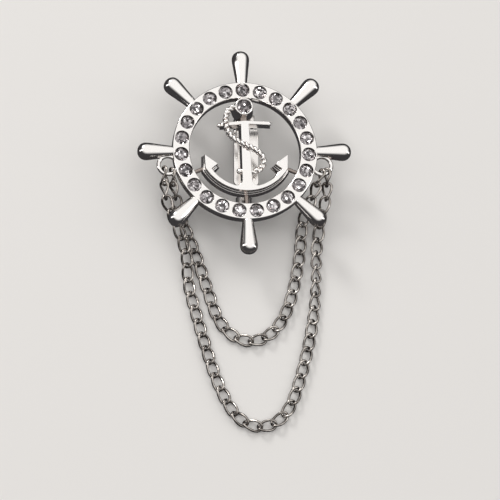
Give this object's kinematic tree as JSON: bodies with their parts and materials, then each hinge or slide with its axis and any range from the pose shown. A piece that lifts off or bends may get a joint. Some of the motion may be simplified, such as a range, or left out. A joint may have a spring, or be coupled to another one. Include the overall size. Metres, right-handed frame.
{
  "type": "lapel chain brooch",
  "caption": "Ship's wheel brooch with an anchor, round clear stones and two chain swags, on a bar pin for a lapel.",
  "frame": {"origin": "middle of the footprint, on the surface that the brooch lies on", "axes": "+X to the wheel's right, +Y from the chains' lowest links up to the wheel's top grip, +Z out of the surface through the wheel's face"},
  "size_m": [0.04, 0.072, 0.0091],
  "materials": {
    "plated_casting": "bright plated",
    "pin_steel": "bright nickel",
    "chain_steel": "darkened nickel",
    "clear_stone": "faceted, foil backed"
  },
  "bodies": {
    "root": {"wheel_casting": "plated_casting", "bar_pin": "pin_steel", "outer_chain": "chain_steel", "inner_chain": "chain_steel", "stone_01": "clear_stone", "stone_02": "clear_stone", "stone_03": "clear_stone", "stone_04": "clear_stone", "stone_05": "clear_stone", "stone_06": "clear_stone", "stone_07": "clear_stone", "stone_08": "clear_stone", "stone_09": "clear_stone", "stone_10": "clear_stone", "stone_11": "clear_stone", "stone_12": "clear_stone", "stone_13": "clear_stone", "stone_14": "clear_stone", "stone_15": "clear_stone", "stone_16": "clear_stone", "stone_17": "clear_stone", "stone_18": "clear_stone", "stone_19": "clear_stone", "stone_20": "clear_stone", "stone_21": "clear_stone", "stone_22": "clear_stone", "stone_23": "clear_stone", "anchor_stone": "clear_stone"}
  },
  "joints": []
}
